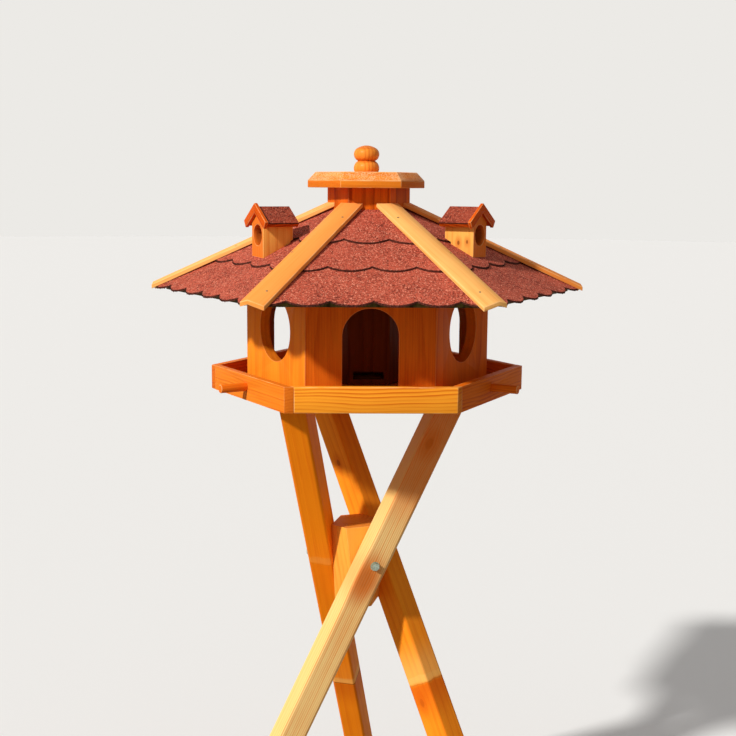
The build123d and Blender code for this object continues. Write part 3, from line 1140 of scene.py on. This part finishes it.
@dataclass
class Stand(Assembly):
    """Three crossing legs and the block that they are bolted to."""

    offset: float = 0.016
    crossing: float = 0.6625
    lean: float = math.radians(0.86)
    turn: float = math.radians(-90.0 + 14.5)
    tilt: float = math.radians(27.1)
    seat: float = 0.042
    legs: tuple[str, ...] = ("leg_front", "leg_right", "leg_left")

    def hub_place(self) -> Matrix:
        """Place of the hub's middle."""
        return Matrix.Translation((-self.offset, 0.0, self.crossing)) @ Matrix.Rotation(-self.lean, 4, "Y")

    def leg_place(self, index: int) -> Matrix:
        """Place of a leg where it crosses the hub: X outwards, Z up along it."""
        turned = self.hub_place() @ Matrix.Rotation(self.turn + index * math.tau / len(self.legs), 4, "Z")
        return turned @ Matrix.Translation((self.seat, 0, 0)) @ Matrix.Rotation(-self.tilt, 4, "X")

    def leg_timbers(self) -> tuple[Timber, ...]:
        """The three legs' finishes, in the order of their names.

        Returns:
            The finishes.
        """
        front = Timber(
            "leg_front_timber", paint(255, 220, 148), paint(238, 146, 66), ring_spacing=0.0036, wave=0.003,
            # Painted sheen on the left face, in a pale cream.
            pith=0.16, contrast=1.1, quarter_sawn=True, seed=3.0, painted_side_sheen=0.62, pale=paint(236, 202, 122),
            knots=(Knot(0.268, -0.008, 0.0085, 0.6, 0.6), Knot(-0.012, -0.006, 0.012, 0.1, 0.85, 0.25)),
            # Painted shade: the leg's upper part, in the tray's shadow, turns a deeper orange.
            stain=paint(214, 104, 24), painted_shade_drift=Drift(0.08, 0.2, 0.0, 0.72, paint(238, 116, 18)),
        )
        right = Timber(
            "leg_right_timber", paint(254, 152, 34), paint(224, 106, 15), ring_spacing=0.011, wave=0.012,
            pith=0.02, contrast=0.35, seed=11.0, pale=paint(255, 200, 112), stain=paint(214, 88, 12),
            knots=(Knot(-0.295, 0.006, 0.006, 0.4), Knot(0.195, 0.004, 0.005, 0.5)),
            whorls=(Whorl(-0.25, 0.6, 0.75, 0.7, 0.25),),
        )
        left = Timber(
            "leg_left_timber", paint(252, 140, 18), paint(220, 94, 7), ring_spacing=0.012, wave=0.01,
            pith=0.02, contrast=0.3, seed=17.0, pale=paint(255, 194, 104), stain=paint(206, 84, 8),
            whorls=(Whorl(0.02, 0.22, 0.1, 0.1, 0.1), Whorl(-0.327, 0.6, 0.15, 0.5, 0.75)),
        )
        return front, right, left

    def dress(self) -> None:
        """Finishes the legs, the hub and the bolts."""
        effects = self.shop.effects
        for index, finish in enumerate(self.leg_timbers()):
            dress_node(self.legs[index], finish.material(effects, SetPlace(self.leg_place(index))))
        hub = Timber("hub_timber", paint(252, 172, 68), paint(220, 122, 32), ring_spacing=0.009, wave=0.01,
                     pith=0.03, contrast=0.4, seed=5.0)
        eased_board("hub_block", hub.material(effects, SetPlace(self.hub_place())), 0.003)
        dress_node("leg_bolts", ZincSteel().material())


@dataclass
class Tray(Assembly):
    """Floor, rim boards and perches."""

    rim_finish: tuple[tuple[Colour, Colour, float], ...] = (
        (paint(236, 124, 26), paint(190, 76, 8), 0.6),
        (paint(240, 128, 28), paint(190, 76, 8), 0.7),
        (paint(240, 128, 28), paint(190, 76, 8), 0.5),
        (paint(246, 138, 36), paint(200, 86, 14), 0.4),
        (paint(255, 164, 44), paint(214, 98, 14), 0.85),
        (paint(228, 112, 20), paint(184, 70, 8), 0.5),
    )

    def dress(self) -> None:
        """Finishes the tray."""
        effects, glaze = self.shop.effects, self.shop.glaze
        floor = Timber("tray_floor_timber", *glaze, Run.OUTWARD, board_width=0.094, ring_spacing=0.008,
                       contrast=0.7, seed=21.0)
        eased_board("tray_floor", floor.material(effects, SetPlace(Matrix.Identity(4))))
        for face, name in enumerate(FACE_NAMES):
            early, late, contrast = self.rim_finish[face]
            board = Timber(f"rim_{name}_timber", early, late, Run.SIDEWAYS, ring_spacing=0.0058, wave=0.028,
                           pith=0.05, contrast=contrast, quarter_sawn=True, seed=31.0 + face)
            eased_board(f"rim_{name}", board.material(effects, side_place(face)))
        rod = Timber("perch_timber", *glaze, Run.OUTWARD, ring_spacing=0.004, pith=0.0, contrast=0.5,
                     seed=41.0)
        eased_board("perches", rod.material(effects, RingPlace()), 0.001)


@dataclass
class House(Assembly):
    """Walls with arches and round windows, and the silo inside them."""

    # Painted sunlight: the front-left wall takes a paler, yellower glaze than the others.
    painted_sunlit_walls: tuple[str, ...] = ("front_left",)
    painted_sunlit_glaze: tuple[Colour, Colour] = (paint(250, 150, 36), paint(210, 96, 15))

    def dress(self) -> None:
        """Finishes the walls and the silo."""
        effects = self.shop.effects
        for face, name in enumerate(FACE_NAMES):
            # Painted sunlight: the listed wall gets the paler glaze.
            glaze = self.painted_sunlit_glaze if name in self.painted_sunlit_walls else self.shop.glaze
            wall = Timber(f"wall_{name}_timber", *glaze, board_width=0.094, ring_spacing=0.0085, wave=0.024,
                          pith=0.03, contrast=0.35, joint=0.12, worn=0.25, seed=51.0 + face)
            eased_board(f"wall_{name}", wall.material(effects, side_place(face)), 0.001)
        # Painted shade: the silo boards turn dark brown lower down, inside the house.
        silo = Timber("silo_timber", paint(236, 112, 22), paint(152, 52, 6), ring_spacing=0.007, wave=0.012,
                      pith=0.02, contrast=0.6, worn=0.2, seed=61.0, painted_shade_drift=Drift(1.25, 1.34, 0.8, 0.0))
        material = silo.material(effects, RingPlace())
        for node in ("silo_slotted_boards", "silo_plain_boards"):
            eased_board(node, material, 0.0008)


@dataclass(frozen=True)
class Sprinkle:
    """Small stones on each course: how many on a square metre, how large, and on which slopes."""

    name: str
    density: float
    size: float
    lowest: float
    highest: float
    seed: int
    felt: SlateFelt


@dataclass
class Roof(Assembly):
    """Deck, three courses of shingles and the strips over the hips."""

    deck_apex: float = 1.368776
    cap_lift: float = 0.01402
    nail_reaches: tuple[float, ...] = (0.366, 0.245, 0.122)
    nail_inset: float = 0.012
    nail_radius: float = 0.0022
    nail_rise: float = 0.0005
    courses: tuple[Course, ...] = (
        Course("lower", 0.346, 0.070, 0.0),
        Course("middle", 0.2535, 0.074, 0.0),
        Course("upper", 0.1745, 0.078, 0.4),
    )
    sprinkles: tuple[Sprinkle, ...] = (
        Sprinkle("slate_grains", 26000.0, 0.0009, 0.5, 1.1, 11,
                 SlateFelt(paint(120, 46, 32), paint(184, 82, 60), paint(202, 112, 88), grain=0.0035)),
        Sprinkle("torn_edge", 240000.0, 0.0012, -0.3, 0.3, 31,
                 SlateFelt(paint(38, 18, 14), paint(84, 38, 28), paint(150, 68, 50))),
    )

    def dress(self) -> None:
        """Finishes the deck, the shingles and the hip strips."""
        effects = self.shop.effects
        boards = Timber("roof_deck_timber", *self.shop.glaze, Run.SIDEWAYS, board_width=0.088, seed=71.0)
        material = DarkDeck(boards).material(effects)
        for name in FACE_NAMES:
            dress_node(f"roof_panel_{name}", material)
        for course in self.courses:
            dress_node(f"shingles_{course.name}", SlateFelt().material(effects, course))
        cap = Timber("hip_cap_timber", paint(250, 188, 108), paint(222, 136, 56), Run.OUTWARD,
                     ring_spacing=0.0065, wave=0.006, pith=0.12, contrast=0.45, quarter_sawn=True, seed=81.0,
                     stain=paint(240, 130, 40), deeper=((-2, 0.6), (0, 0.75), (1, 0.2), (2, 0.4)))
        material = cap.material(effects, RingPlace(0.0, HIP_PITCH))
        eased_board("hip_caps", material, 0.0012)

    def nail_spots(self) -> list[tuple[Vector, Vector]]:
        """Places of the nails in the hip strips, with the direction that each head faces.

        Returns:
            Pairs of a point and its direction.
        """
        spots = []
        for corner in range(len(FACE_NAMES)):
            for number, reach in enumerate(self.nail_reaches):
                side = -1 if (corner + number) % 2 else 1
                facing = SECTOR * corner + side * HALF_SECTOR
                apothem = reach * math.cos(HALF_SECTOR)
                out = apothem + self.cap_lift * math.sin(ROOF_PITCH)
                up = self.deck_apex - apothem * math.tan(ROOF_PITCH) + self.cap_lift * math.cos(ROOF_PITCH)
                aside = -side * (apothem * math.tan(HALF_SECTOR) - self.nail_inset)
                c, s = math.cos(facing), math.sin(facing)
                normal = Vector((c * math.sin(ROOF_PITCH), s * math.sin(ROOF_PITCH), math.cos(ROOF_PITCH)))
                spots.append((Vector((out * c - aside * s, out * s + aside * c, up)), normal))
        return spots

    def build(self) -> None:
        """Adds the nails, the raised grains of the felt and the crumbs along its cut edges."""
        steel = ZincSteel("nail_steel", paint(178, 140, 92), paint(120, 84, 46), 0.4).material()
        values = {"Radius": self.nail_radius, "Rise": self.nail_rise, "Material": steel}
        nails = self.shop.heads.run(point_mesh("nail_places", self.nail_spots()), "hip_cap_nails", values)
        settle(nails)
        materials = [item.felt.material(self.shop.effects) for item in self.sprinkles]
        for number, course in enumerate(self.courses):
            for item, material in zip(self.sprinkles, materials):
                blank = merged_copy(f"shingles_{course.name}", "blank")
                values = {"Density": item.density, "Size": item.size, "Lowest": item.lowest,
                          "Highest": item.highest, "Seed": item.seed + number, "Material": material}
                settle(self.shop.scatter.run(blank, f"{item.name}_{course.name}", values))


@dataclass
class Dormers(Assembly):
    """Three little houses on the roof."""

    pitch: float = math.radians(33.5)
    knots: tuple[Knot, ...] = (Knot(1.2815, -0.0297, 0.0028, 0.7), Knot(1.2835, -0.0125, 0.0024, 0.7))
    names: tuple[str, ...] = ("left", "right", "back")
    facings: tuple[float, ...] = (210.0, 330.0, 90.0)
    fronts: tuple[float, ...] = (0.229, 0.2245, 0.227)
    turn: float = math.radians(-3.6)
    front_board: FrontBoard = FrontBoard(0.0238, paint(226, 106, 22))

    def place(self, number: int) -> SetPlace:
        """Pattern frame of a dormer at the middle of its front: X outwards, Z up.

        Args:
            number: The dormer's number, from 0.

        Returns:
            The frame.
        """
        facing = Matrix.Rotation(math.radians(self.facings[number]), 4, "Z")
        front = Matrix.Translation((self.fronts[number], 0, 0))
        return SetPlace(facing @ front @ Matrix.Rotation(self.turn, 4, "Z"))

    def dress(self) -> None:
        """Finishes the dormers."""
        effects, over_ridge = self.shop.effects, GablePlace(self.pitch)
        cover = Timber("dormer_roof_timber", paint(204, 84, 16), paint(152, 52, 8), Run.SIDEWAYS,
                       ring_spacing=0.006, seed=95.0)
        cover_material = cover.material(effects, over_ridge)
        for number, name in enumerate(self.names):
            # Painted sunlight: the pale body colour shows on the dormers' sides; the front board keeps the
            # deeper glaze.
            body = Timber(f"dormer_{name}_timber", paint(255, 188, 92), paint(226, 124, 40),
                          Run.UPRIGHT_BLOCK, ring_spacing=0.009, wave=0.014, pith=0.02, contrast=0.4,
                          seed=91.0 + number, knots=self.knots if name == "right" else (),
                          front_board=self.front_board)
            eased_board(f"dormer_{name}", body.material(effects, self.place(number)), 0.0008)
            dress_node(f"dormer_roof_{name}", cover_material)
        felt = SlateFelt(paint(92, 34, 22), paint(160, 68, 46), paint(190, 104, 80))
        dress_node("dormer_felts", felt.material(effects))
        barge = Timber("bargeboard_timber", paint(220, 92, 12), paint(176, 60, 6), Run.SIDEWAYS,
                       ring_spacing=0.006, wave=0.006, contrast=0.5, seed=99.0)
        eased_board("bargeboards", barge.material(effects, over_ridge), 0.0008)


@dataclass
class Lid(Assembly):
    """Lift-off lid with its knob."""

    shift: float = -0.0045
    turn: float = math.radians(3.5)

    def dress(self) -> None:
        """Finishes the lid."""
        effects = self.shop.effects
        place = SetPlace(Matrix.Translation((self.shift, 0.0, 1.0)) @ Matrix.Rotation(self.turn, 4, "Z"))
        board = Timber("lid_timber", paint(248, 148, 42), paint(212, 98, 20), Run.OUTWARD,
                       ring_spacing=0.009, pith=0.04, contrast=0.45, seed=101.0, speckle=0.72,
                       pale=paint(252, 196, 146))
        eased_board("lid_board", board.material(effects, place), 0.0012, LID)
        knob = Timber("knob_timber", paint(252, 160, 58), paint(212, 98, 24), ring_spacing=0.007, wave=0.01,
                      pith=0.008, contrast=0.45, seed=103.0, roughness=0.4, coat=0.1)
        dress_node("lid_knob", knob.material(effects, place))
        locator = Timber("locator_timber", *self.shop.glaze, Run.OUTWARD, seed=105.0)
        eased_board("lid_locator", locator.material(effects, place), body=LID)


def seen_directly(g: Graph) -> Socket:
    """Gives 1 for what is seen directly, in a reflection or through glass, and 0 for light.

    Args:
        g: The graph of a material or of the world.

    Returns:
        The mask.
    """
    path = g.node("ShaderNodeLightPath")
    mirrored = g.math("MAXIMUM", path.outputs["Is Glossy Ray"], path.outputs["Is Transmission Ray"])
    return g.math("MAXIMUM", path.outputs["Is Camera Ray"], mirrored)


@dataclass
class Studio:
    """Camera, lamps and floor."""

    eye: tuple[float, float, float] = (-0.0636, -2.2640, 1.3830)
    turn: float = math.radians(1.64)
    pitch: float = math.radians(8.626)
    roll: float = math.radians(0.454)
    lens: float = 59.335
    sensor_width: float = 36.0
    far: float = 100.0
    sun_direction: tuple[float, float, float] = (-0.618, -0.537, 0.574)
    sun_colour: Colour = (1.0, 0.97, 0.92)
    sun_strength: float = 3.5
    sun_angle: float = math.radians(4.0)
    fill_colour: Colour = (1.0, 0.96, 0.92)
    fill: float = 0.39
    fill_slope: float = 0.12
    background: Colour = paint(236, 234, 230)
    floor_radius: float = 30.0
    floor_lit: Colour = (0.22, 0.21, 0.19)
    floor_seen: Colour = (0.82, 0.83, 0.84)

    def camera(self) -> None:
        """Sets the camera at the photograph's place and angle."""
        ahead = Vector((math.sin(self.turn), math.cos(self.turn), 0.0))
        right = Vector((math.cos(self.turn), -math.sin(self.turn), 0.0))
        forward = ahead * math.cos(self.pitch) - Vector((0.0, 0.0, 1.0)) * math.sin(self.pitch)
        up = right.cross(forward)
        across = right * math.cos(self.roll) + up * math.sin(self.roll)
        upward = -right * math.sin(self.roll) + up * math.cos(self.roll)
        data = bpy.data.cameras.new("camera")
        data.lens = self.lens
        data.sensor_width = self.sensor_width
        data.sensor_fit = "HORIZONTAL"
        data.clip_end = self.far
        made = linked("camera", data)
        turned = Matrix((across, upward, -forward)).transposed().to_4x4()
        made.matrix_world = Matrix.Translation(self.eye) @ turned
        bpy.context.scene.camera = made

    def lamps(self) -> None:
        """Adds the main lamp and the fill, a little stronger from the left."""
        data = bpy.data.lights.new("main_lamp", "SUN")
        data.energy = self.sun_strength
        data.angle = self.sun_angle
        data.color = self.sun_colour
        lamp = linked("main_lamp", data)
        lamp.rotation_euler = Vector(self.sun_direction).to_track_quat("Z", "Y").to_euler()
        world = bpy.data.worlds.new("fill")
        world.use_nodes = True
        g = Graph(world.node_tree)
        back = world.node_tree.nodes["Background"]
        seen = seen_directly(g)
        g.feed(back.inputs["Color"], g.mix(seen, self.fill_colour, self.background))
        towards = g.split(g.node("ShaderNodeTexCoord").outputs["Generated"])[0]
        soft = g.scaled(towards, -self.fill_slope, self.fill)
        g.feed(back.inputs["Strength"], g.scaled(seen, g.minus(1.0, soft), soft))
        bpy.context.scene.world = world

    def floor(self) -> None:
        """Lays the pale floor."""
        bpy.ops.mesh.primitive_circle_add(vertices=64, radius=self.floor_radius, fill_type="NGON")
        plane = bpy.context.object
        plane.name = "studio_floor"
        g = Surface("studio_floor")
        g.feed(g.shader.inputs["Base Color"], g.mix(seen_directly(g), self.floor_lit, self.floor_seen))
        g.set("Roughness", 0.9)
        dress(plane, g.material)

    def build(self) -> None:
        """Sets the whole studio."""
        self.camera()
        self.lamps()
        self.floor()
        bpy.context.scene.view_settings.view_transform = "Standard"


def main() -> None:
    """Builds the studio and each sub-assembly in order."""
    logging.basicConfig(level=logging.INFO, format="%(name)s: %(message)s")
    Studio().build()
    shop = Workshop()
    Stand(shop).dress()
    Tray(shop).dress()
    House(shop).dress()
    roof = Roof(shop)
    roof.dress()
    roof.build()
    Dormers(shop).dress()
    Lid(shop).dress()


if __name__ == "__main__":
    main()
